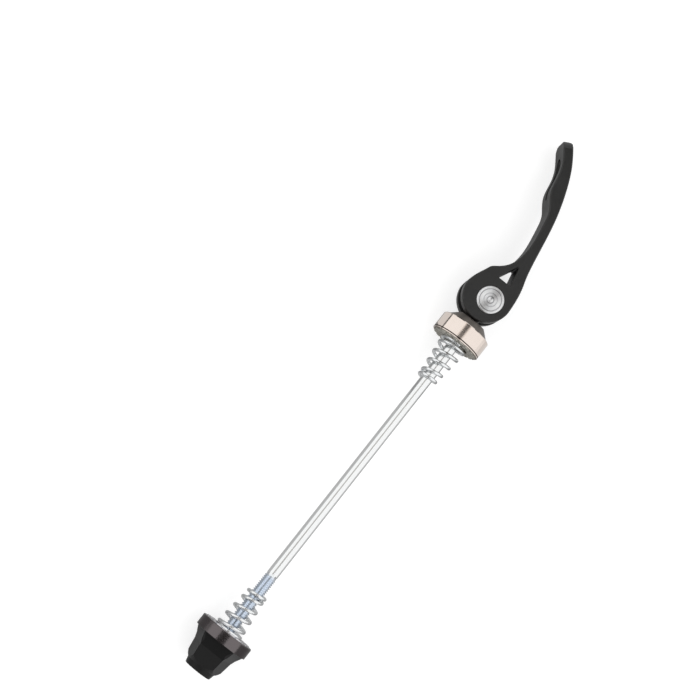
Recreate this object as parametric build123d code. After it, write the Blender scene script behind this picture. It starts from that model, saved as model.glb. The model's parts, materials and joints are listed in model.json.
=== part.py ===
from build123d import *
import os
from math import asin, atan2, cos, degrees, hypot, radians, sin

# A quick release skewer for a bicycle's front wheel.
# Millimetres. +X runs along the rod from the adjusting nut to the lever. The origin is on the rod's axis,
# in the plane of the collar's serrated clamp face. Each piece is built with the lever's pivot along Z,
# and is then rolled about the rod, as the skewer lies on a table: on its nut, its collar and one corner
# of the lever's tip.

# Fits and clearances
running_gap = 0.06       # radial, a shaft that turns in a bore
slip_gap = 0.10          # radial, a loose guide
seat_gap = 0.03          # pieces that are pressed or screwed together
face_gap = 0.05          # between flat faces that turn on each other
overrun = 1.0            # how far a cutter runs past the surface it opens

# Rod
shank_d = 4.44
thread_d = 4.87          # crest of the rolled thread
clamp_gap = 129.05       # collar face to nut face, as adjusted
nut_thread_len = 38.1    # thread at the nut's end of the rod
head_thread_len = 9.0    # thread at the lever's end
thread_runout = 0.8
rod_end_chamfer = 0.6
rod_in_barrel = 3.0      # how far the rod passes the pivot inside the barrel

# Lever and cam
lever_width = 13.35
lever_len = 65.1         # pivot to tip
tip_rise = 13.4          # the tip's height above the pivot, on the concave side
cam_r = 9.35
cam_off_x = 0.45         # centre of the cam from the pivot, along the lever
cam_off_y = 1.36         # and towards the concave side
cam_gap = 0.61           # cam to saddle in the half-open position
slot_w = 5.2             # fork slot, lets the rod swing through
slot_depth = 9.6         # past the pivot
lever_edge_r = 0.45
tip_plan_ratio = 0.6     # radius of the tip's rounding, seen from its broad side, to the lever's width
tip_slope = 30.0         # degrees
tip_hole_r = 3.2         # teardrop hole, wide end
tip_hole_small_r = 1.2
tip_hole_from_end = 9.8
tip_hole_len = 11.7      # between the centres of its two ends
window_wall = 3.30       # between the barrel's bore and the window
window_len = 8.2
window_top = 3.05        # the window's corners across the lever, from the pivot
window_bottom = -2.65
window_point = -0.85
window_corner_r = 0.4

# Pivot barrel
barrel_d = 10.0
barrel_proud = 0.40
barrel_edge_r = 0.35
barrel_ring_r = 4.0      # turned groove in each end face
barrel_ring_w = 0.5
barrel_ring_depth = 0.25
barrel_dish_r = 2.35     # shallow round step in the middle
barrel_dish_depth = 0.2
barrel_dimple_r = 1.3    # centre hole
barrel_dimple_floor_r = 0.55
barrel_dimple_depth = 0.8

# Collar: washer, cup and saddle
cup_d = 19.65
cup_len = 6.8
cup_wall = 0.9
cup_web = 1.2
cup_chamfer = 0.3
cup_lip_chamfer = 0.12
cup_lip_len = 0.4        # thin lip round the washer
cup_groove_w = 0.35      # turned groove behind the lip
cup_groove_depth = 0.25
washer_proud = 0.45      # clamp face ahead of the cup's edge
washer_r = 9.15
washer_sink = 1.05       # depth of the washer's seat in the cup
washer_groove_w = 0.2    # open ring between washer and cup
rod_hole_gap = 0.35      # radial, loose pieces on the rod
tooth_count = 20
tooth_depth = 0.45
tooth_groove_w = 1.3     # at the clamp face
tooth_inner_r = 6.5      # the grooves start here
saddle_top_r = 5.4
saddle_rise = 2.75       # from the cup's rim to the trough's bottom
saddle_lip = 0.15        # straight part above the cup's rim
trough_r = 25.0

# Springs
spring_wire_d = 1.3
spring_large_r = 5.5     # outer radius at the clamp face
spring_small_r = 3.95    # outer radius at the free end
spring_len = 16.85       # from the clamp face to the free end
spring_recess = 0.95     # depth of the groove behind the clamp face that seats the large end
spring_seat_gap = 0.10
spring_side_gap = 0.10
active_turns = 3.5
end_turns = 1.0
end_pitch = 1.4
lever_spring_turn = 18   # degrees about the rod, as each spring happens to lie
nut_spring_turn = 126

# Adjusting nut
nut_flange_r = 10.45
nut_flange_len = 4.15
nut_cone_len = 2.8
nut_body_r = 8.7         # at the foot of the cone
nut_body_len = 6.15
nut_body_end_r = 7.55
nut_chamfer_len = 1.8
nut_boss_r = 5.7
nut_boss_end_r = 5.2
nut_boss_len = 2.1
nut_edge_r = 0.35        # rounding of its two end rims
flat_count = 5
flat_turn = 4            # degrees about the rod, as the nut happens to be turned
flat_top_depth = 1.85    # below the flange's rim, where a flat starts
flat_crease = 1.6        # along the body, where a flat's floor bends
flat_foot_depth = 1.7    # below the body's surface, at the crease
flat_end_depth = 1.45    # below the body's surface, at the end
insert_face_r = 9.2
insert_proud = 0.3
insert_plate = 1.6
insert_sleeve_r = 3.9
insert_sleeve_len = 11.0
lock_ring_len = 2.4
lock_ring_gap = 0.03     # nylon on the thread's crest
nut_end_hole_gap = 0.3
rod_inside_nut = 3.0     # the rod's end from the nut's outer end

# Derived places along X
cup_x0 = washer_proud
cup_x1 = cup_x0 + cup_len
web_x0 = cup_x0 + washer_sink
web_x1 = web_x0 + cup_web
trough_x = cup_x1 + saddle_rise
pivot_x = trough_x + cam_gap + cam_r - cam_off_x
nut_x = -clamp_gap
flange_x0 = nut_x - insert_proud
cone_x0 = flange_x0 - nut_flange_len
body_x0 = cone_x0 - nut_cone_len
body_x1 = body_x0 - nut_body_len
boss_x0 = body_x1 - nut_chamfer_len
nut_end_x = boss_x0 - nut_boss_len
rod_x0 = nut_end_x + rod_inside_nut
rod_x1 = pivot_x + rod_in_barrel
cup_r = cup_d / 2
thread_r = thread_d / 2
barrel_r = barrel_d / 2
tip_plan_r = tip_plan_ratio * lever_width
recess_r = spring_large_r + spring_side_gap
recess_inner_r = spring_large_r - spring_wire_d - spring_side_gap

# The roll, in degrees, that brings the tip's corner down to the table under the nut and the collar
tip_x = pivot_x + lever_len
table_slope = (nut_flange_r - cup_r) / (cup_x1 - flange_x0)
tip_drop = cup_r - table_slope * (tip_x - cup_x1)
corner_angle = atan2(lever_width / 2, tip_rise)
rest_roll = degrees(asin(tip_drop / hypot(lever_width / 2, tip_rise)) - corner_angle)


def turned(*points):
    """A solid turned about the X axis from (x, radius) corners."""
    return revolve(make_face(Polyline(*points, close=True)), Axis.X)


def bar(x0, x1, radius):
    """A cylinder on the X axis."""
    return turned((x0, 0), (x0, radius), (x1, radius), (x1, 0))


def on_side(edge, half):
    """True for an edge that lies in one of the lever's two flat side faces."""
    box = edge.bounding_box()
    return abs(abs(box.min.Z) - half) < 0.001 and abs(box.max.Z - box.min.Z) < 0.001


def cam_point(angle_deg):
    """A point of the cam's circle, from the pivot."""
    a = radians(angle_deg)
    return Vector(cam_off_x + cam_r * cos(a), cam_off_y + cam_r * sin(a))


def build_rod():
    shank_r = shank_d / 2
    nut_thread_x = rod_x0 + nut_thread_len
    head_thread_x = rod_x1 - head_thread_len
    return turned(
        (rod_x0, 0),
        (rod_x0, thread_r - rod_end_chamfer),
        (rod_x0 + rod_end_chamfer, thread_r),
        (nut_thread_x, thread_r),
        (nut_thread_x + thread_runout, shank_r),
        (head_thread_x - thread_runout, shank_r),
        (head_thread_x, thread_r),
        (rod_x1, thread_r),
        (rod_x1, 0),
    )


def build_barrel():
    half = lever_width / 2 + barrel_proud
    dish_z = half - barrel_dish_depth
    end_profile = Polyline(
        (0, 0),
        (0, half - barrel_dimple_depth),
        (barrel_dimple_floor_r, half - barrel_dimple_depth),
        (barrel_dimple_r, dish_z),
        (barrel_dish_r, dish_z),
        (barrel_dish_r + barrel_dish_depth, half),
        (barrel_ring_r - barrel_ring_w / 2, half),
        (barrel_ring_r, half - barrel_ring_depth),
        (barrel_ring_r + barrel_ring_w / 2, half),
        (barrel_r, half),
        (barrel_r, 0),
        close=True,
    )
    end = revolve(Plane.XZ * make_face(end_profile), Axis.Z)
    rims = end.edges().filter_by(GeomType.CIRCLE).filter_by_position(Axis.Z, half, half)
    end = fillet(rims.sort_by(SortBy.RADIUS)[-1], barrel_edge_r)
    barrel = end + mirror(end, Plane.XY)
    socket = bar(pivot_x - barrel_d, rod_x1 + seat_gap, thread_r + seat_gap)
    return Pos(pivot_x, 0, 0) * barrel - socket


def lever_outline():
    """The lever's side view, with the pivot at the origin and the concave side towards +Y."""
    tip = Vector(lever_len, tip_rise)
    front_tip = tip + Vector(-2.2, 1.0)
    back_tip = tip + Vector(-1.2, -2.5)

    # The cam runs clockwise from its lowest point round to the brow
    cam_top_angle = 100
    cam_bottom = cam_point(270)
    cam_top = cam_point(cam_top_angle)
    cam = CenterArc((cam_off_x, cam_off_y), cam_r, 270, cam_top_angle - 270)
    top_tangent = (sin(radians(cam_top_angle)), -cos(radians(cam_top_angle)))
    brow_peak = (cam_off_x + 2.9, cam_off_y + cam_r - 0.65)
    brow_foot = (cam_off_x + 6.55, cam_off_y + cam_r - 2.15)
    shoulder = Vector(cam_off_x + 9.1, cam_off_y + cam_r - 3.2)
    brow = Spline(cam_top, brow_peak, brow_foot, shoulder, tangents=[top_tangent, (1, -0.35)])

    # The concave side drops from the shoulder to the waist, and rises over a hump to the tip
    neck = Spline(
        shoulder,
        shoulder + Vector(1.9, -2.0),
        shoulder + Vector(4.7, -4.75),
        shoulder + Vector(10.4, -6.8),
        (lever_len / 2 + 2.0, tip_rise - 11.45),
        tip + Vector(-25.8, -10.1),
        tip + Vector(-22.9, -8.1),
        tip + Vector(-19.8, -6.3),
        tip + Vector(-14.5, -5.1),
        tip + Vector(-9.7, -3.65),
        tip + Vector(-6.3, -1.65),
        front_tip,
        tangents=[(1, -0.6), (1, 0.5)],
    )
    end = ThreePointArc(front_tip, tip, back_tip)
    back = Spline(
        back_tip,
        tip + Vector(-8.4, -7.3),
        tip + Vector(-16.2, -10.8),
        tip + Vector(-28.7, -14.6),
        cam_bottom + Vector(13.86, 2.5),
        cam_bottom,
        tangents=[(-1, -0.75), (-1, -0.05)],
    )
    return make_face(Curve() + [cam, brow, neck, end, back])


def build_lever():
    half = lever_width / 2
    blank = extrude(lever_outline(), half, both=True)
    tip_plane = Plane(
        origin=(lever_len, tip_rise, 0),
        x_dir=(cos(radians(tip_slope)), sin(radians(tip_slope)), 0),
        z_dir=(-sin(radians(tip_slope)), cos(radians(tip_slope)), 0),
    )
    round_end = Pos(-tip_plan_r, 0) * Circle(tip_plan_r)
    long_side = Pos(-lever_len, 0) * Rectangle(2 * (lever_len - tip_plan_r), 2 * tip_plan_r)
    blank &= extrude(tip_plane * (round_end + long_side), 2 * lever_len, both=True)
    blank = fillet(blank.edges().filter_by(lambda e: on_side(e, half)), lever_edge_r)

    slot = Pos(slot_depth - lever_len / 2, 0, 0) * Box(lever_len, lever_len, slot_w)
    blank -= slot
    blank -= Cylinder(barrel_r + running_gap, lever_width + overrun)
    window_x = barrel_r + running_gap + window_wall
    window = make_face(
        Polyline(
            (window_x, window_top),
            (window_x + window_len, window_point),
            (window_x, window_bottom),
            close=True,
        )
    )
    blank -= extrude(fillet(window.vertices(), window_corner_r), lever_width, both=True)
    wide_end = Pos(-tip_hole_from_end, 0) * Circle(tip_hole_r)
    narrow_end = Pos(-tip_hole_from_end - tip_hole_len, 0) * Circle(tip_hole_small_r)
    teardrop = make_hull((wide_end + narrow_end).edges())
    blank -= extrude(tip_plane * teardrop, lever_width, both=True)
    return Pos(pivot_x, 0, 0) * blank


def build_saddle():
    skirt_r = cup_r - cup_wall - slip_gap
    bottom_x = web_x1 + face_gap
    shoulder_x = cup_x1 + saddle_lip
    horn_x = trough_x + trough_r - (trough_r**2 - saddle_top_r**2) ** 0.5
    saddle = turned(
        (bottom_x, 0), (bottom_x, skirt_r), (shoulder_x, skirt_r), (horn_x, saddle_top_r), (horn_x, 0)
    )
    saddle -= Pos(trough_x + trough_r, 0, 0) * Cylinder(trough_r, cup_d)
    return saddle - bar(bottom_x - overrun, horn_x + overrun, thread_r + rod_hole_gap)


def build_cup():
    pocket_r = cup_r - cup_wall
    seat_r = washer_r + washer_groove_w
    groove_x0 = cup_x0 + cup_lip_len
    cup = turned(
        (cup_x0, seat_r),
        (cup_x0, cup_r - cup_lip_chamfer),
        (cup_x0 + cup_lip_chamfer, cup_r),
        (groove_x0, cup_r),
        (groove_x0 + cup_groove_w / 2, cup_r - cup_groove_depth),
        (groove_x0 + cup_groove_w, cup_r),
        (cup_x1 - cup_chamfer, cup_r),
        (cup_x1, cup_r - cup_chamfer),
        (cup_x1, pocket_r),
        (web_x1, pocket_r),
        (web_x1, thread_r + rod_hole_gap),
        (web_x0, thread_r + rod_hole_gap),
        (web_x0, seat_r),
    )
    return cup


def serrated(plate, face_x, outward):
    """Cuts radial V grooves into a clamp face. outward is +1 or -1, the way the face looks along X."""
    half_w = tooth_groove_w / 2
    floor_x = face_x - outward * tooth_depth
    past_x = face_x + outward * tooth_depth
    vee = make_face(Polyline((floor_x, 0), (past_x, 2 * half_w), (past_x, -2 * half_w), close=True))
    groove = Pos(0, 0, tooth_inner_r) * extrude(vee, cup_d)
    for i in range(tooth_count):
        plate -= Rot(i * 360 / tooth_count, 0, 0) * groove
    return plate


def build_washer():
    back_x = web_x0
    washer = turned(
        (0, recess_r),
        (0, washer_r),
        (back_x, washer_r),
        (back_x, thread_r + rod_hole_gap),
        (0, thread_r + rod_hole_gap),
        (0, recess_inner_r),
        (spring_recess, recess_inner_r),
        (spring_recess, recess_r),
    )
    return serrated(washer, 0, -1)


def build_spring():
    """A conical spring along +X, with its large end at x = 0 and its small end at spring_len."""
    wire_r = spring_wire_d / 2
    large_r = spring_large_r - wire_r
    small_r = spring_small_r - wire_r
    seat_x = wire_r
    end_h = end_turns * end_pitch
    active_h = spring_len + spring_recess - spring_seat_gap - 2 * end_h - spring_wire_d
    taper = degrees(atan2(small_r - large_r, active_h))
    first = Helix(end_pitch, end_h, large_r)
    turn_1 = 360 * end_turns
    slant_pitch = active_h / active_turns / cos(radians(taper))
    active = Helix(slant_pitch, active_h, large_r, cone_angle=taper)
    active = Pos(0, 0, end_h) * Rot(0, 0, turn_1) * active
    turn_2 = turn_1 + 360 * active_turns
    last = Pos(0, 0, end_h + active_h) * Rot(0, 0, turn_2) * Helix(end_pitch, end_h, small_r)
    path = Wire([first, active, last])
    section = Plane(origin=path @ 0, z_dir=path % 0) * Circle(wire_r)
    spring = sweep(section, path, is_frenet=True, transition=Transition.TRANSFORMED)
    return Pos(seat_x, 0, 0) * Rot(0, 90, 0) * spring


def build_nut_body():
    body = turned(
        (flange_x0, 0),
        (flange_x0, nut_flange_r),
        (cone_x0, nut_flange_r),
        (body_x0, nut_body_r),
        (body_x1, nut_body_end_r),
        (boss_x0, nut_boss_r),
        (nut_end_x, nut_boss_end_r),
        (nut_end_x, 0),
    )
    rims = body.edges().filter_by(GeomType.CIRCLE).sort_by(Axis.X)
    body = fillet([rims[0], rims[-1]], nut_edge_r)
    top_r = nut_flange_r - flat_top_depth
    crease_x = body_x0 - flat_crease
    taper = (nut_body_r - nut_body_end_r) / nut_body_len
    crease_r = nut_body_r - taper * flat_crease - flat_foot_depth
    end_r = nut_body_end_r - flat_end_depth
    past_x = nut_end_x - overrun
    past_r = end_r - (body_x1 - past_x) * (crease_r - end_r) / (crease_x - body_x1)
    far_r = 2 * nut_flange_r
    floor = make_face(
        Polyline(
            (cone_x0, top_r),
            (crease_x, crease_r),
            (past_x, past_r),
            (past_x, far_r),
            (cone_x0, far_r),
            close=True,
        )
    )
    cutter = extrude(floor, far_r, both=True)
    for i in range(flat_count):
        body -= Rot(90 - flat_turn + i * 360 / flat_count, 0, 0) * cutter

    plate_x = nut_x - insert_plate
    sleeve_end = nut_x - spring_recess - insert_sleeve_len
    ring_end = sleeve_end - lock_ring_len
    body -= bar(plate_x, flange_x0 + overrun, insert_face_r + seat_gap)
    body -= bar(ring_end, plate_x + overrun, insert_sleeve_r + seat_gap)
    body -= bar(nut_end_x - overrun, ring_end + overrun, thread_r + nut_end_hole_gap)
    return body


def build_insert():
    plate_x = nut_x - insert_plate
    floor_x = nut_x - spring_recess
    sleeve_end = floor_x - insert_sleeve_len
    bore_r = thread_r + running_gap
    insert = turned(
        (nut_x, recess_r),
        (nut_x, insert_face_r),
        (plate_x, insert_face_r),
        (plate_x, insert_sleeve_r),
        (sleeve_end, insert_sleeve_r),
        (sleeve_end, bore_r),
        (nut_x, bore_r),
        (nut_x, recess_inner_r),
        (floor_x, recess_inner_r),
        (floor_x, recess_r),
    )
    return serrated(insert, nut_x, 1)


def build_lock_ring():
    ring_x0 = nut_x - spring_recess - insert_sleeve_len
    ring_x1 = ring_x0 - lock_ring_len
    return bar(ring_x1, ring_x0, insert_sleeve_r) - bar(
        ring_x1 - overrun, ring_x0 + overrun, thread_r + lock_ring_gap
    )


lever_spring_seat = Pos(spring_recess - spring_seat_gap, 0, 0) * Rot(lever_spring_turn, 0, 0)
nut_spring_seat = Pos(nut_x - spring_recess + spring_seat_gap, 0, 0) * Rot(nut_spring_turn, 0, 0)
parts = {
    "skewer_rod": build_rod(),
    "pivot_barrel": build_barrel(),
    "lever": build_lever(),
    "cam_saddle": build_saddle(),
    "collar_cup": build_cup(),
    "collar_serrated_washer": build_washer(),
    "lever_spring": lever_spring_seat * Rot(0, 180, 0) * build_spring(),
    "nut_spring": nut_spring_seat * build_spring(),
    "nut_body": build_nut_body(),
    "nut_serrated_insert": build_insert(),
    "nut_lock_ring": build_lock_ring(),
}

os.makedirs("parts", exist_ok=True)
print(f"rolled by {rest_roll:.4f} degrees about the rod, pivot at x = {pivot_x:.3f}")
for name, shape in parts.items():
    export_step(Rot(-rest_roll, 0, 0) * shape, f"parts/{name}.step")
    print(f"{name}: {shape.volume:.1f} mm3")
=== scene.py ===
# %% [markdown]
# # A quick release skewer on a white table
# The skewer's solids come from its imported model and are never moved. This lesson adds what solids leave
# out: the rolled thread, the finish of every surface, the light and the camera.

# %% Load the model
import json
import math

import bmesh
import bpy
from mathutils import Matrix, Vector


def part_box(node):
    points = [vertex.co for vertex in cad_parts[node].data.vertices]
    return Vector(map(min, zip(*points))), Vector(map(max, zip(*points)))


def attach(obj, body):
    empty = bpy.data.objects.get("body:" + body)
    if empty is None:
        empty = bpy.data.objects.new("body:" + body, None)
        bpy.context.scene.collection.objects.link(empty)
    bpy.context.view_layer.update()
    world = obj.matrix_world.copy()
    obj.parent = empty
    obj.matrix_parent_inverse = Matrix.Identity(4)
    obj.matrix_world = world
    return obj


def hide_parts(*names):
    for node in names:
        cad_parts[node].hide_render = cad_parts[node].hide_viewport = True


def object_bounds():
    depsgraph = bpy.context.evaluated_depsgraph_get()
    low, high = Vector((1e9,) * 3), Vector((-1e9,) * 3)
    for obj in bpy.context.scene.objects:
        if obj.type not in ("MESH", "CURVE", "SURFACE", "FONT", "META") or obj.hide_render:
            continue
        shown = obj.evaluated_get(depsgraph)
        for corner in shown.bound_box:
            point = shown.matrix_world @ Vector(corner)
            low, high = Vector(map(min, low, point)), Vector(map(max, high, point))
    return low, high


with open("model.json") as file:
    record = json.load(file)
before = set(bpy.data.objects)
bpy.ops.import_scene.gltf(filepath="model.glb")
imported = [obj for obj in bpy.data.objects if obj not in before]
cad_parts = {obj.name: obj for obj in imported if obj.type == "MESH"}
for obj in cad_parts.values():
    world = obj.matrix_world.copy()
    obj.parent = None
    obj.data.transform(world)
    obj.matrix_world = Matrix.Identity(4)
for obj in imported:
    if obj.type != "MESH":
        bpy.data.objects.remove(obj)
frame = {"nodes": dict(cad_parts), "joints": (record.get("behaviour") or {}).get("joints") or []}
cad_low, cad_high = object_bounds()
nodes = frame["nodes"]
MM = 0.001
print("model:", len(nodes), "nodes,", [round(x / MM, 1) for x in cad_high - cad_low], "mm")

# %% [markdown]
# ## The bench frame
# The skewer lies rolled about its rod, because the tip of the lever rests on the table. It is easier to
# think with the lever's pivot upright, as on a bench. One helper turns a bench point, in millimetres,
# into a scene point, and the roll itself is read from the lever's hinge.

# %% From the bench to the table
joints = {joint["name"]: joint for joint in frame["joints"]}
hinge = Vector(joints["lever_swing"]["axis"])
roll = math.atan2(hinge.y, hinge.z)
bench_to_table = Matrix.Rotation(-roll, 4, "X")


def on_table(x, y, z):
    """A point given in millimetres on the bench, in metres as the skewer lies."""
    return bench_to_table @ Vector((x, y, z)) * MM


print("rolled", round(math.degrees(roll), 2), "degrees about the rod")

# %% [markdown]
# ## Camera
# The photograph looks down on the skewer from over the nut, so that the collar's clamp face shows. The
# rod climbs to the upper right. The camera is set from three facts: where it stands, the point in the
# middle of the picture, and the angle of the rod in the picture.

# %% Camera
SENSOR = 36.0
FOCAL_LENGTH = 80.7
CAMERA_ON_BENCH = (-102.15, 38.7, 555.0)
MIDDLE_ON_BENCH = (-25.35, 27.9, 0.0)
ROD_ANGLE = math.radians(51.4)
X_WAY = Vector((1, 0, 0))

camera_place = on_table(*CAMERA_ON_BENCH)
picture_middle = on_table(*MIDDLE_ON_BENCH)
back = (camera_place - picture_middle).normalized()
along = (X_WAY - back * X_WAY.dot(back)).normalized()
across = back.cross(along)
right = along * math.cos(ROD_ANGLE) - across * math.sin(ROD_ANGLE)
up = along * math.sin(ROD_ANGLE) + across * math.cos(ROD_ANGLE)

lens = bpy.data.cameras.new("photo_camera")
lens.sensor_width = SENSOR
lens.lens = FOCAL_LENGTH
camera = bpy.data.objects.new("photo_camera", lens)
bpy.context.scene.collection.objects.link(camera)
camera.matrix_world = Matrix.Translation(camera_place) @ Matrix((right, up, back)).transposed().to_4x4()
bpy.context.scene.camera = camera
print("camera", [round(x, 3) for x in camera_place], "looks at", [round(x, 3) for x in picture_middle])

# %% [markdown]
# ## Light
# Polished metal is drawn by what it mirrors. Here that is a room with a white ceiling and greyer walls, and
# two long softboxes add soft light from both sides. Cards do the rest. Those that hang over the skewer give
# the grey line along the rod and the streak on the cup, and darken the nut and the end of the lever. Those
# that lie on the table draw the outlines of the rod and the springs, and those that stand on it set the
# edges of the flange and the cup. Only reflections see the cards, so they neither light the skewer nor
# shade it.

# %% Node helpers
scene = bpy.context.scene
scene.view_settings.view_transform = "Standard"


def set_input(tree, socket, value):
    """Links a socket to another one, or gives it a value."""
    if isinstance(value, bpy.types.NodeSocket):
        tree.links.new(value, socket)
    else:
        socket.default_value = value


def set_inputs(tree, node, **inputs):
    """Fills a node's inputs with values or sockets. Underscores in their names stand for spaces."""
    for key, value in inputs.items():
        set_input(tree, node.inputs[key.replace("_", " ")], value)


def add_node(tree, kind, settings=None, **inputs):
    """Adds a shader node with its settings and inputs."""
    made = tree.nodes.new("ShaderNode" + kind)
    for key, value in (settings or {}).items():
        setattr(made, key, value)
    set_inputs(tree, made, **inputs)
    return made


# %% Values from nodes
def add_math(tree, operation, first, second=0.0):
    """A Math node's result, from two values or sockets."""
    made = add_node(tree, "Math", {"operation": operation})
    set_input(tree, made.inputs[0], first)
    set_input(tree, made.inputs[1], second)
    return made.outputs[0]


def ramp(tree, value, start=0.0, end=1.0, low=0.0, high=1.0):
    """Follows a value: low up to its start, high from its end on, and even in between."""
    made = add_node(tree, "MapRange", Value=value, From_Min=start, From_Max=end, To_Min=low, To_Max=high)
    return made.outputs["Result"]


def coordinate(tree, place, axis):
    """The X, Y or Z of a place."""
    return add_node(tree, "SeparateXYZ", Vector=place).outputs[axis]


def object_place(tree):
    """Object coordinates, which for every piece are the scene's own metres at rest."""
    return add_node(tree, "TexCoord").outputs["Object"]


# %% World
AMBIENT = 0.60  # the soft light from all round
WALL = 0.30  # what metal mirrors at the horizon
WALL_TOP = 0.20  # how high the walls reach before the ceiling is white
WHITE = (1, 1, 1, 1)
world = bpy.data.worlds.new("white_room")
world.use_nodes = True
scene.world = world
tree = world.node_tree
path = add_node(tree, "LightPath").outputs
shown = add_math(tree, "MAXIMUM", path["Is Camera Ray"], path["Is Transmission Ray"])
plain = ramp(tree, shown, low=AMBIENT)
height = coordinate(tree, add_node(tree, "TexCoord").outputs["Generated"], "Z")
room = ramp(tree, height, end=WALL_TOP, low=WALL)
strength = ramp(tree, path["Is Glossy Ray"], low=plain, high=room)
set_inputs(tree, tree.nodes["Background"], Color=WHITE, Strength=strength)
print("world: ambient", AMBIENT, "and walls", WALL)


# %% Sheet helpers
def new_material(name):
    """A node material: the material, its node tree and its Principled shader."""
    material = bpy.data.materials.new(name)
    material.use_nodes = True
    tree = material.node_tree
    return material, tree, tree.nodes["Principled BSDF"]


def facing(centre, long_way, normal):
    """Where a flat thing stands: its centre, the way it runs and the way it faces."""
    turn = Matrix((long_way, normal.cross(long_way), normal)).transposed().to_4x4()
    return Matrix.Translation(centre) @ turn


def flat_sheet(name, centre, long_way, normal, length, width, material):
    """A flat rectangular sheet of the stage, built in place."""
    bm = bmesh.new()
    bmesh.ops.create_grid(bm, x_segments=1, y_segments=1, size=0.5)
    size = Matrix.Diagonal((length, width, 1, 1))
    bmesh.ops.transform(bm, matrix=facing(centre, long_way, normal) @ size, verts=bm.verts)
    mesh = bpy.data.meshes.new(name)
    bm.to_mesh(mesh)
    bm.free()
    mesh.materials.append(material)
    sheet = bpy.data.objects.new(name, mesh)
    scene.collection.objects.link(sheet)
    return sheet


# %% Table
TABLE_SIZE = 6.0
TABLE_GREY = (0.42, 0.42, 0.42, 1)
TABLE_ROUGHNESS = 0.9
TABLE_GLOW = 0.68  # lifts the table to white in the picture
TABLE_GLOW_FAR = 0.80  # and a little more where less light falls
TABLE_GLOW_MIRRORED = 0.14
GLOW_RISES_FROM = 0.3
GLOW_RISES_TO = 1.2
Z_WAY = Vector((0, 0, 1))
material, tree, shader = new_material("white_table")
path = add_node(tree, "LightPath").outputs
distance = add_node(tree, "VectorMath", {"operation": "LENGTH"}, Vector=object_place(tree)).outputs["Value"]
glow = ramp(tree, distance, GLOW_RISES_FROM, GLOW_RISES_TO, TABLE_GLOW, TABLE_GLOW_FAR)
to_camera = add_math(tree, "MULTIPLY", path["Is Camera Ray"], glow)
either = add_math(tree, "MAXIMUM", path["Is Glossy Ray"], path["Is Transmission Ray"])
mirrored = add_math(tree, "MULTIPLY", either, TABLE_GLOW_MIRRORED)
set_inputs(
    tree,
    shader,
    Base_Color=TABLE_GREY,
    Roughness=TABLE_ROUGHNESS,
    Specular_IOR_Level=0.0,
    Emission_Color=WHITE,
    Emission_Strength=add_math(tree, "MAXIMUM", to_camera, mirrored),
)
table_top = Vector((0, 0, cad_low.z))
flat_sheet("table", table_top, X_WAY, Z_WAY, TABLE_SIZE, TABLE_SIZE, material)
print("table at z =", round(cad_low.z / MM, 2), "mm")

# %% Softboxes
SOFTBOX_RADIANCE = 1.1
SOFTBOX_WIDTH = 0.70
SOFTBOX_LENGTH = 1.30
SOFTBOX_REACH = 800.0
SOFTBOX_LEAN = math.radians(38)
SOFTBOX_X = -35.0
SIDES = {"right": -1, "left": 1}

for side_name, side in SIDES.items():
    lamp = bpy.data.lights.new(f"softbox_{side_name}", "AREA")
    lamp.shape = "RECTANGLE"
    lamp.size = SOFTBOX_LENGTH
    lamp.size_y = SOFTBOX_WIDTH
    lamp.energy = math.pi * SOFTBOX_LENGTH * SOFTBOX_WIDTH * SOFTBOX_RADIANCE
    box = bpy.data.objects.new(lamp.name, lamp)
    scene.collection.objects.link(box)
    place = on_table(
        SOFTBOX_X,
        side * SOFTBOX_REACH * math.sin(SOFTBOX_LEAN),
        SOFTBOX_REACH * math.cos(SOFTBOX_LEAN),
    )
    away = (place - on_table(SOFTBOX_X, 0, 0)).normalized()
    box.matrix_world = facing(place, X_WAY, away)
    box.visible_camera = False
    box.visible_glossy = False
    print(lamp.name, "at", [round(x, 2) for x in place], round(lamp.energy, 2), "W")

# %% Card helper
BLACK = (0, 0, 0, 1)


def add_card(name, centre, long_way, normal, length, width, colour, glow, soft_edge=None):
    """A card that only reflections see. Soft edges pale to white at both ends of its width."""
    material, tree, shader = new_material(name)
    if soft_edge:
        off_middle = add_math(tree, "SUBTRACT", coordinate(tree, object_place(tree), "Y"), centre.y)
        off_middle = add_math(tree, "ABSOLUTE", off_middle)
        glow = ramp(tree, off_middle, width / 2 - soft_edge, width / 2, low=glow)
    set_inputs(tree, shader, Base_Color=BLACK, Roughness=1.0, Specular_IOR_Level=0.0)
    set_inputs(tree, shader, Emission_Color=colour, Emission_Strength=glow)
    card = flat_sheet(name, centre, long_way, normal, length, width, material)
    card.visible_camera = False
    card.visible_diffuse = False
    card.visible_shadow = False
    print(name, "at", [round(x, 2) for x in centre])


# %% Cards over the skewer
CARDS = {
    # name: (middle on the bench, length, width, lean in degrees, brightness, width of its soft edges)
    "rod_card": ((-13, 38.7, 555), 0.234, 0.17, 0, 0.40, None),
    "head_card": ((123, 38.7, 555), 0.036, 0.30, 0, 0.0, 0.10),
    "flange_card": ((-207.5, 38.7, 555), 0.145, 0.38, 0, 0.03, None),
    "slope_card": ((-673, 0, 450), 0.45, 0.80, -50, 0.02, None),
    "tip_card": ((455, 0, 555), 0.50, 0.40, 0, 0.04, None),
}
WARM = (1.0, 0.95, 0.90, 1)
for name, (place, length, width, lean, glow, soft_edge) in CARDS.items():
    tilt = (bench_to_table @ Matrix.Rotation(math.radians(lean), 4, "Y")).to_3x3()
    add_card(name, on_table(*place), tilt.col[0], -tilt.col[2], length, width, WARM, glow, soft_edge)

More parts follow.
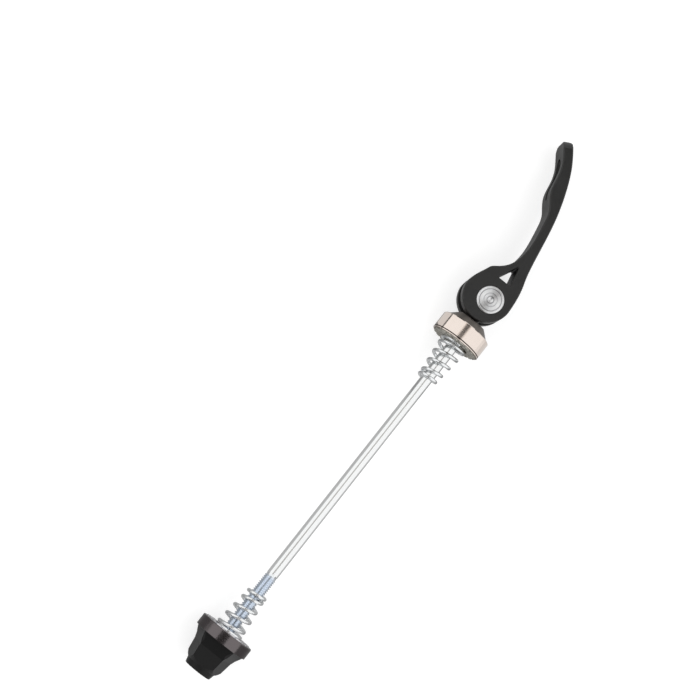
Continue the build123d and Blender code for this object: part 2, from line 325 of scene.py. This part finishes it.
# %% Cards that lie on the table
LYING_CARDS = {
    # name: (from x, to x, nearest y, brightness), one on each side of the skewer
    "flange_side_card": (-139, -129.5, 10, 0.28),
    "nut_spring_side_card": (-129.5, -111, 8, 0.36),
    "rod_side_card": (-111, -21, 5, 0.46),
    "lever_spring_side_card": (-21, 4, 8, 0.28),
    "cup_side_card": (4, 32, 12, 0.72),
}
LYING_REACH = 150
LYING_LIFT = 0.3
for name, (start, end, near, glow) in LYING_CARDS.items():
    width = LYING_REACH - near
    for side_name, side in SIDES.items():
        centre = Vector(((start + end) / 2, side * (near + width / 2), LYING_LIFT)) * MM + table_top
        add_card(f"{name}_{side_name}", centre, X_WAY, Z_WAY, (end - start) * MM, width * MM, WHITE, glow)

# %% Cards that stand on the table
STANDING_CARDS = {
    # name: (from x, to x, y, height, brightness)
    "flange_standing_card": (-145, -125, -60, 54, 0.28),
    "cup_standing_card_right": (0, 36, -145, 43, 0.90),
    "cup_standing_card_left": (0, 28, 44, 28, 1.00),
    "cup_foot_card": (0, 28, 43.5, 6, 0.10),
}
Y_WAY = Vector((0, 1, 0))
for name, (start, end, y, height, glow) in STANDING_CARDS.items():
    centre = Vector(((start + end) / 2, y, height / 2)) * MM + table_top
    add_card(name, centre, X_WAY, Y_WAY, (end - start) * MM, height * MM, WHITE, glow)

# %% [markdown]
# ## The threaded rod
# The rod is a steel wire with a thread rolled into each end. Rolling squeezes the metal outwards, so the
# crests stand proud of the plain shank and the roots lie below it. The solid model has a smooth cylinder
# there. This piece stands in for it: a turned core, and a ridge that is spun round the rod while it steps
# along, which is just how a thread runs. A bump pattern would be quicker, but it would vanish at the edge.

# %% Sizes of the rod
rod_low, rod_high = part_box("skewer_rod")
ROD_START = rod_low.x / MM
ROD_END = rod_high.x / MM
CREST_R = (rod_high.z - rod_low.z) / 2 / MM
SHANK_R = 2.22
ROOT_R = 2.03
PITCH = 0.8
NUT_THREAD = 38.1
HEAD_THREAD = 9.0
RUNOUT = 0.8
END_CHAMFER = 0.6
print("rod from", round(ROD_START, 2), "to", round(ROD_END, 2), "mm, crest radius", round(CREST_R, 3))

# %% Turned core
ROD_SEGMENTS = 64
WELD = 1e-8


def spin_round(bm, profile, segments):
    """Turns a line of (x, radius) corners, in millimetres, once round the rod's axis."""
    corners = [bm.verts.new((x * MM, 0, r * MM)) for x, r in profile]
    line = [bm.edges.new(pair) for pair in zip(corners, corners[1:])]
    bmesh.ops.spin(bm, geom=corners + line, axis=X_WAY, angle=2 * math.pi, steps=segments, use_merge=True)
    bmesh.ops.remove_doubles(bm, verts=bm.verts, dist=WELD)


nut_thread_end = ROD_START + NUT_THREAD
head_thread_start = ROD_END - HEAD_THREAD
rod_bm = bmesh.new()
spin_round(
    rod_bm,
    [
        (ROD_START, 0),
        (ROD_START, CREST_R - END_CHAMFER),
        (ROD_START + CREST_R - ROOT_R, ROOT_R),
        (nut_thread_end, ROOT_R),
        (nut_thread_end + RUNOUT, SHANK_R),
        (head_thread_start - RUNOUT, SHANK_R),
        (head_thread_start, ROOT_R),
        (ROD_END, ROOT_R),
        (ROD_END, 0),
    ],
    ROD_SEGMENTS,
)
print("core:", len(rod_bm.faces), "faces")

# %% Helical ridges
STEPS_PER_TURN = 40
RIDGE_SINK = 0.05
RIDGE_FOOT = 0.62
RIDGE_CREST = 0.16
RUN_IN_TURNS = 1.2


def spin_ridge(bm, start, end):
    """A right-hand ridge from start to end along the rod, with both ends running out into the core."""
    turns = (end - start - RIDGE_FOOT) / PITCH
    steps = round(turns * STEPS_PER_TURN)
    foot_r = ROOT_R - RIDGE_SINK
    inset = (RIDGE_FOOT - RIDGE_CREST) / 2
    section = [
        (start, foot_r),
        (start + inset, CREST_R),
        (start + inset + RIDGE_CREST, CREST_R),
        (start + RIDGE_FOOT, foot_r),
    ]
    before = set(bm.verts)
    corners = [bm.verts.new((x * MM, 0, r * MM)) for x, r in section]
    face = bm.faces.new(corners)
    bmesh.ops.spin(
        bm,
        geom=corners + face.edges[:] + [face],
        axis=X_WAY,
        dvec=X_WAY * (PITCH / STEPS_PER_TURN) * MM,
        angle=2 * math.pi * steps / STEPS_PER_TURN,
        steps=steps,
    )
    run_in = RUN_IN_TURNS * PITCH
    for vert in set(bm.verts) - before:
        x = vert.co.x / MM
        share = max(0.0, min(1.0, (x - start) / run_in, (end - x) / run_in))
        radius = math.hypot(vert.co.y, vert.co.z)
        lowered = foot_r * MM + (radius - foot_r * MM) * share
        vert.co.y *= lowered / radius
        vert.co.z *= lowered / radius
    return turns


for start, end in ((ROD_START, nut_thread_end + RUNOUT / 2), (head_thread_start - RUNOUT / 2, ROD_END)):
    print("ridge of", round(spin_ridge(rod_bm, start, end), 1), "turns")

# %% The rod as one piece
# the run-outs meet the shank at 13 degrees, and shading smoothly over them would bend its reflections
SHARP_EDGE = math.radians(11)
bmesh.ops.recalc_face_normals(rod_bm, faces=rod_bm.faces)
for face in rod_bm.faces:
    face.smooth = True
for edge in rod_bm.edges:
    edge.smooth = len(edge.link_faces) == 2 and edge.calc_face_angle() < SHARP_EDGE
rod_mesh = bpy.data.meshes.new("threaded_rod")
rod_bm.to_mesh(rod_mesh)
rod_bm.free()
threaded_rod = bpy.data.objects.new("threaded_rod", rod_mesh)
scene.collection.objects.link(threaded_rod)
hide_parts("skewer_rod")
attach(threaded_rod, "rod")
print("threaded rod:", len(rod_mesh.polygons), "faces")

# %% [markdown]
# ## Shared marks of making
# Three effects turn up on more than one finish, so each is a node group. A lathe leaves fine rings. Cast,
# blasted and moulded skins have a fine grain. Plated and dull steel is cloudy, never one even tone.


# %% Group helpers
def new_group(name, inputs, outputs):
    """A node group with float or vector sockets: the group, its input sockets and its output node."""
    group = bpy.data.node_groups.new(name, "ShaderNodeTree")
    for socket, kind in inputs:
        group.interface.new_socket(socket, in_out="INPUT", socket_type="NodeSocket" + kind)
    for socket in outputs:
        group.interface.new_socket(socket, in_out="OUTPUT", socket_type="NodeSocketFloat")
    return group, group.nodes.new("NodeGroupInput").outputs, group.nodes.new("NodeGroupOutput")


def use_group(tree, group, **inputs):
    """Places a group in a material and returns its output sockets."""
    return add_node(tree, "Group", {"node_tree": group}, **inputs).outputs


# %% Lathe rings
lathe_rings, given, result = new_group(
    "lathe_rings", [("Distance", "Float"), ("Ring Width", "Float")], ["Rings"]
)
count = add_math(lathe_rings, "DIVIDE", given["Distance"], given["Ring Width"])
noise = add_node(
    lathe_rings, "TexNoise", {"noise_dimensions": "1D"}, W=count, Scale=1.0, Detail=3.0, Roughness=0.6
)
set_inputs(lathe_rings, result, Rings=noise.outputs["Fac"])
print(lathe_rings.name, "with", len(lathe_rings.nodes), "nodes")

# %% Skin grain
skin_grain, given, result = new_group(
    "skin_grain", [("Place", "Vector"), ("Grain Size", "Float")], ["Grain"]
)
finer = add_math(skin_grain, "DIVIDE", 1.0, given["Grain Size"])
noise = add_node(skin_grain, "TexNoise", Vector=given["Place"], Scale=finer, Detail=2.0, Roughness=0.5)
set_inputs(skin_grain, result, Grain=noise.outputs["Fac"])
print(skin_grain.name, "with", len(skin_grain.nodes), "nodes")

# %% Steel clouds
MID_GREY = 0.5
steel_clouds, given, result = new_group(
    "steel_clouds", [("Place", "Vector"), ("Cloud Size", "Float"), ("Contrast", "Float")], ["Clouds"]
)
finer = add_math(steel_clouds, "DIVIDE", 1.0, given["Cloud Size"])
noise = add_node(steel_clouds, "TexNoise", Vector=given["Place"], Scale=finer, Detail=5.0, Roughness=0.6)
centred = add_math(steel_clouds, "SUBTRACT", noise.outputs["Fac"], MID_GREY)
spread = add_math(steel_clouds, "MULTIPLY", centred, given["Contrast"])
lifted = add_node(steel_clouds, "Clamp", Value=add_math(steel_clouds, "ADD", spread, MID_GREY))
set_inputs(steel_clouds, result, Clouds=lifted.outputs["Result"])
print(steel_clouds.name, "with", len(steel_clouds.nodes), "nodes")

# %% Finish helpers
# where a Mix node keeps its two colours and its mixed colour
FIRST_COLOUR, SECOND_COLOUR, MIXED_COLOUR = 6, 7, 2


def blend_colours(tree, factor, first, second):
    """Mixes two colours by a mask."""
    made = add_node(tree, "Mix", {"data_type": "RGBA"})
    set_input(tree, made.inputs[0], factor)
    for index, colour in ((FIRST_COLOUR, first), (SECOND_COLOUR, second)):
        set_input(tree, made.inputs[index], (*colour, 1) if isinstance(colour, tuple) else colour)
    return made.outputs[MIXED_COLOUR]


def world_way(tree, way, kind):
    """A direction on the piece, of kind VECTOR or NORMAL, as it points in the scene."""
    settings = {"vector_type": kind, "convert_from": "OBJECT", "convert_to": "WORLD"}
    return add_node(tree, "VectorTransform", settings, Vector=way).outputs["Vector"]


def add_bump(tree, shader, height, depth):
    """Feeds a height mask to the shader's normal. depth is in millimetres."""
    bump = add_node(tree, "Bump", Height=height, Distance=depth * MM, Strength=1.0)
    set_inputs(tree, shader, Normal=bump.outputs["Normal"])


def finish(material, *pieces):
    """Gives pieces this material alone."""
    for piece in pieces:
        piece.data.materials.clear()
        piece.data.materials.append(material)
    print(material.name, "on", [piece.name for piece in pieces])


# %% [markdown]
# ## Zinc plated rod
# The shank is smooth drawn wire under bright zinc. The rolled thread keeps more of the blue rinse that
# follows the plating, so the tint changes where the thread starts. The end inside the lever is painted near
# black: painted shade, which keeps the rod dark in the gap between the cam and the saddle.

# %% Rod finish
ZINC = (0.93, 0.94, 0.94)
BLUE_ZINC = (0.75, 0.81, 0.89)
# painted shade: near black, mixed into the rod's colour where it runs into the lever, between cam and
# saddle
ROD_PAINTED_SHADE = (0.03, 0.028, 0.026)
ROD_SHADE_FROM = 7.0
ROD_SHADE_FULL = 8.0
material, tree, shader = new_material("zinc_steel")
place = object_place(tree)
x_mm = add_math(tree, "DIVIDE", coordinate(tree, place, "X"), MM)
on_thread = ramp(tree, x_mm, nut_thread_end + RUNOUT, nut_thread_end - RUNOUT)
shaded_in_lever = ramp(tree, x_mm, ROD_SHADE_FROM, ROD_SHADE_FULL)
clouds = use_group(tree, steel_clouds, Place=place, Cloud_Size=2.5 * MM, Contrast=1.6)["Clouds"]
plating = blend_colours(tree, on_thread, ZINC, BLUE_ZINC)
set_inputs(
    tree,
    shader,
    Base_Color=blend_colours(tree, shaded_in_lever, plating, ROD_PAINTED_SHADE),
    Roughness=ramp(tree, clouds, low=0.13, high=0.21),
    Metallic=1.0,
)
finish(material, threaded_rod)

# %% [markdown]
# ## Turned pivot barrel
# The barrel is parted off a bar on a lathe, and its ends keep the tool's rings. Fine rings stretch every
# reflection across themselves, outwards from the middle, which gives the end its bright and dark sectors.
# An anisotropic shader does the same when its tangent points outwards. The pivot's axis is the middle, so
# the coordinates are first turned back to the bench and centred. The groove, the dish's edge and the centre
# hole are painted darker with a ramp over the radius: painted shade in these hollows.

# %% Round the barrel's middle
material, tree, shader = new_material("turned_steel")
barrel_low, barrel_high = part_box("pivot_barrel")
barrel_x = (barrel_low.x + barrel_high.x) / 2
barrel_radius = (barrel_high.x - barrel_low.x) / 2
benched = add_node(tree, "Mapping", {"vector_type": "POINT"}, Vector=object_place(tree))
set_inputs(tree, benched, Rotation=(roll, 0, 0), Location=(-barrel_x, 0, 0))
flat = add_node(tree, "VectorMath", {"operation": "MULTIPLY"}, Vector=benched.outputs["Vector"])
flat.inputs[1].default_value = (1, 1, 0)
from_middle = flat.outputs["Vector"]
radius = add_node(tree, "VectorMath", {"operation": "LENGTH"}, Vector=from_middle).outputs["Value"]
outward = add_node(tree, "Mapping", {"vector_type": "NORMAL"}, Vector=from_middle, Rotation=(-roll, 0, 0))
print("barrel's middle at x =", round(barrel_x / MM, 2), "mm")

# %% Painted shade on the barrel
BARREL_SHADE_STOPS = [
    # (share of the barrel's radius, how much painted shade): centre hole, dish and turned groove
    (0.0, 0.0), (0.18, 0.0), (0.25, 0.9), (0.31, 0.1), (0.44, 0.1), (0.49, 0.6), (0.54, 0.0),
    (0.75, 0.0), (0.80, 0.7), (0.85, 0.0), (1.0, 0.0),
]
barrel_shade = add_node(tree, "ValToRGB", Fac=add_math(tree, "DIVIDE", radius, barrel_radius))
stops = barrel_shade.color_ramp.elements
stops.remove(stops[1])
for share, darkness in BARREL_SHADE_STOPS:
    stops.new(share).color = (darkness, darkness, darkness, 1)
stops.remove(stops[0])
print("grime in", len(stops), "stops")

# %% Barrel finish
RING_WIDTH = 0.40
STRETCH = 0.95
TURNED_DARK = (0.91, 0.92, 0.93)
TURNED_LIGHT = (0.99, 0.99, 0.99)
# painted shade: the grey that the ramp mixes into the groove, the dish's edge and the centre hole
BARREL_SHADE_GREY = (0.22, 0.22, 0.23)
rings = use_group(tree, lathe_rings, Distance=radius, Ring_Width=RING_WIDTH * MM)["Rings"]
clean = blend_colours(tree, rings, TURNED_DARK, TURNED_LIGHT)
set_inputs(
    tree,
    shader,
    Base_Color=blend_colours(tree, barrel_shade.outputs["Color"], clean, BARREL_SHADE_GREY),
    Roughness=ramp(tree, rings, low=0.37, high=0.29),
    Metallic=1.0,
    Anisotropic=STRETCH,
    Tangent=world_way(tree, outward.outputs["Vector"], "NORMAL"),
)
add_bump(tree, shader, rings, 0.005)
finish(material, nodes["pivot_barrel"])

# %% [markdown]
# ## Cast lever
# The lever is cast aluminium, blasted and anodised black. The skin is satin with a fine grain, and small
# clouds change its gloss more than its colour.

# %% Lever finish
LEVER_DARK = (0.0062, 0.0062, 0.0059)
LEVER_LIGHT = (0.0095, 0.0095, 0.0090)
material, tree, shader = new_material("black_lever")
place = object_place(tree)
grain = use_group(tree, skin_grain, Place=place, Grain_Size=0.35 * MM)["Grain"]
clouds = use_group(tree, steel_clouds, Place=place, Cloud_Size=6 * MM, Contrast=1.5)["Clouds"]
set_inputs(
    tree,
    shader,
    Base_Color=blend_colours(tree, clouds, LEVER_DARK, LEVER_LIGHT),
    Roughness=ramp(tree, clouds, low=0.36, high=0.46),
    Specular_IOR_Level=0.6,
)
add_bump(tree, shader, grain, 0.012)
finish(material, nodes["lever"])

# %% [markdown]
# ## Turned saddle
# The saddle is turned from plastic with a lot of graphite in it, so that the cam slides well. The graphite
# gives the warm black a metallic sheen, so it is finished as a dark metal here. The tool's rings run round
# the rod and stretch reflections along it, so the tangent points along the rod.

# %% Saddle finish
GRAPHITE_DARK = (0.19, 0.174, 0.157)
GRAPHITE_LIGHT = (0.26, 0.237, 0.217)
material, tree, shader = new_material("saddle_plastic")
place = object_place(tree)
grain = use_group(tree, skin_grain, Place=place, Grain_Size=0.5 * MM)["Grain"]
clouds = use_group(tree, steel_clouds, Place=place, Cloud_Size=4 * MM, Contrast=1.5)["Clouds"]
set_inputs(
    tree,
    shader,
    Base_Color=blend_colours(tree, clouds, GRAPHITE_DARK, GRAPHITE_LIGHT),
    Roughness=ramp(tree, clouds, low=0.36, high=0.44),
    Metallic=0.9,
    Anisotropic=STRETCH,
    Tangent=world_way(tree, X_WAY, "VECTOR"),
)
add_bump(tree, shader, grain, 0.015)
finish(material, nodes["cam_saddle"])

# %% [markdown]
# ## Plated cup
# The cup is turned steel, polished and nickel plated. Nickel is warmer than zinc. Very fine rings round
# the rod stretch its highlights along the curve, and the groove behind its lip is painted dark: painted
# shade.

# %% Cup finish
GROOVE_FROM_LIP = 0.58
GROOVE_HALF = 0.26
NICKEL_DARK = (0.83, 0.73, 0.66)
NICKEL_LIGHT = (0.90, 0.80, 0.73)
# painted shade: a dark brown mixed into the colour of the groove behind the lip
GROOVE_PAINTED_SHADE = (0.16, 0.13, 0.11)
material, tree, shader = new_material("plated_cup")
place = object_place(tree)
x = coordinate(tree, place, "X")
rings = use_group(tree, lathe_rings, Distance=x, Ring_Width=0.3 * MM)["Rings"]
clouds = use_group(tree, steel_clouds, Place=place, Cloud_Size=5 * MM, Contrast=1.3)["Clouds"]
nickel = blend_colours(tree, clouds, NICKEL_DARK, NICKEL_LIGHT)
groove_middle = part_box("collar_cup")[0].x + GROOVE_FROM_LIP * MM
off_groove = add_math(tree, "ABSOLUTE", add_math(tree, "SUBTRACT", x, groove_middle))
in_groove = ramp(tree, off_groove, GROOVE_HALF * MM, GROOVE_HALF / 2 * MM)
set_inputs(
    tree,
    shader,
    Base_Color=blend_colours(tree, in_groove, nickel, GROOVE_PAINTED_SHADE),
    Roughness=ramp(tree, rings, low=0.085, high=0.115),
    Metallic=1.0,
)
add_bump(tree, shader, rings, 0.003)
finish(material, nodes["collar_cup"])

# %% [markdown]
# ## Serrated steel
# The two clamp faces are hardened steel that bites into the fork ends. The collar's washer is left dull and
# mottled by the hardening. The nut's insert is zinc plated after it, so it shows as a bright line.

# %% Washer finish
HARDENED_DARK = (0.26, 0.25, 0.22)
HARDENED_LIGHT = (0.53, 0.51, 0.46)
TOOTH_GRAIN = 0.4
TOOTH_CLOUDS = 1.6
material, tree, shader = new_material("serrated_steel")
place = object_place(tree)
grain = use_group(tree, skin_grain, Place=place, Grain_Size=TOOTH_GRAIN * MM)["Grain"]
clouds = use_group(tree, steel_clouds, Place=place, Cloud_Size=TOOTH_CLOUDS * MM, Contrast=3.2)["Clouds"]
set_inputs(
    tree,
    shader,
    Base_Color=blend_colours(tree, clouds, HARDENED_DARK, HARDENED_LIGHT),
    Roughness=ramp(tree, grain, low=0.38, high=0.55),
    Metallic=0.5,
)
add_bump(tree, shader, grain, 0.02)
finish(material, nodes["collar_serrated_washer"])

# %% Insert finish
INSERT_DARK = (0.70, 0.68, 0.70)
INSERT_LIGHT = (0.86, 0.85, 0.86)
material, tree, shader = new_material("plated_insert")
place = object_place(tree)
grain = use_group(tree, skin_grain, Place=place, Grain_Size=TOOTH_GRAIN * MM)["Grain"]
clouds = use_group(tree, steel_clouds, Place=place, Cloud_Size=TOOTH_CLOUDS * MM, Contrast=1.8)["Clouds"]
set_inputs(
    tree,
    shader,
    Base_Color=blend_colours(tree, clouds, INSERT_DARK, INSERT_LIGHT),
    Roughness=ramp(tree, grain, low=0.22, high=0.34),
    Metallic=1.0,
)
add_bump(tree, shader, grain, 0.006)
finish(material, nodes["nut_serrated_insert"])

# %% [markdown]
# ## Spring wire
# Both springs are wound from zinc plated wire. Winding roughens the plating a little, so the gloss is
# uneven.

# %% Spring finish
WIRE_DARK = (0.82, 0.84, 0.85)
WIRE_LIGHT = (0.94, 0.95, 0.96)
material, tree, shader = new_material("spring_steel")
place = object_place(tree)
clouds = use_group(tree, steel_clouds, Place=place, Cloud_Size=1.4 * MM, Contrast=1.8)["Clouds"]
set_inputs(
    tree,
    shader,
    Base_Color=blend_colours(tree, clouds, WIRE_DARK, WIRE_LIGHT),
    Roughness=ramp(tree, clouds, low=0.05, high=0.12),
    Metallic=1.0,
)
finish(material, nodes["lever_spring"], nodes["nut_spring"])

# %% [markdown]
# ## Anodised nut
# The nut is turned aluminium with five milled flats, anodised black. Its flange was turned last and keeps
# a brownish metal sheen with fine rings; the milled part behind it is darker.

# %% Nut finish
FLANGE_LENGTH = 4.15
FLANGE_BLEND = 0.05
MILLED_BLACK = (0.010, 0.010, 0.010)
FLANGE_BROWN = (0.155, 0.138, 0.141)
flange_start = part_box("nut_body")[1].x - FLANGE_LENGTH * MM
material, tree, shader = new_material("black_nut")
place = object_place(tree)
x = coordinate(tree, place, "X")
on_flange = ramp(tree, x, flange_start - FLANGE_BLEND * MM, flange_start + FLANGE_BLEND * MM)
rings = use_group(tree, lathe_rings, Distance=x, Ring_Width=0.25 * MM)["Rings"]
grain = use_group(tree, skin_grain, Place=place, Grain_Size=0.3 * MM)["Grain"]
set_inputs(
    tree,
    shader,
    Base_Color=blend_colours(tree, on_flange, MILLED_BLACK, FLANGE_BROWN),
    Metallic=on_flange,
    Roughness=ramp(tree, on_flange, low=0.36, high=0.17),
    Specular_IOR_Level=0.17,
)
add_bump(tree, shader, add_math(tree, "ADD", rings, grain), 0.006)
finish(material, nodes["nut_body"])
print("flange from x =", round(flange_start / MM, 2), "mm")

# %% [markdown]
# ## Nylon ring
# A nylon ring at the end of the nut's thread grips the rod. It is natural nylon, milky and a little
# waxy, and only its hole can be seen from the nut's end.

# %% Nylon finish
NYLON_DARK = (0.70, 0.70, 0.66)
NYLON_LIGHT = (0.80, 0.80, 0.76)
material, tree, shader = new_material("nylon")
place = object_place(tree)
clouds = use_group(tree, steel_clouds, Place=place, Cloud_Size=1.5 * MM, Contrast=1.2)["Clouds"]
set_inputs(
    tree,
    shader,
    Base_Color=blend_colours(tree, clouds, NYLON_DARK, NYLON_LIGHT),
    Roughness=ramp(tree, clouds, low=0.40, high=0.55),
)
finish(material, nodes["nut_lock_ring"])
